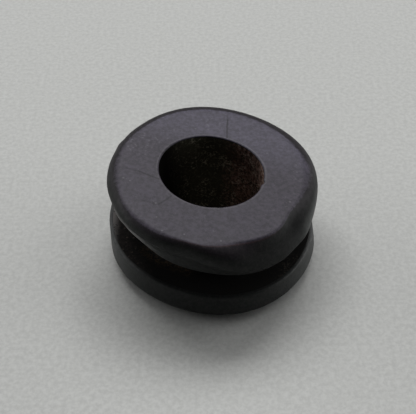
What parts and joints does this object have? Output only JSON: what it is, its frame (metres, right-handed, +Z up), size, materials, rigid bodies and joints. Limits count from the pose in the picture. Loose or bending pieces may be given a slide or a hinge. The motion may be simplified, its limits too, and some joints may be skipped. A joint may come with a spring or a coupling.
{
  "type": "rubber grommet",
  "caption": "Round black rubber grommet: twin flanges with soft shoulders, a panel groove between them and a plain through hole, its upper flange leaning and its rims pulled a little out of round by use.",
  "frame": {"origin": "centre of the hole at the underside of the lower flange, on the surface the grommet stands on", "axes": "+Z up along the hole, from the lower flange to the upper one; +X toward the side where the upper flange leans lowest; +Y across"},
  "size_m": [0.0197, 0.0208, 0.0098],
  "materials": {
    "rubber": "satin moulded rubber with a faint sheen, fine scuffs and pale dust"
  },
  "bodies": {
    "root": {"grommet": "rubber"}
  },
  "joints": []
}
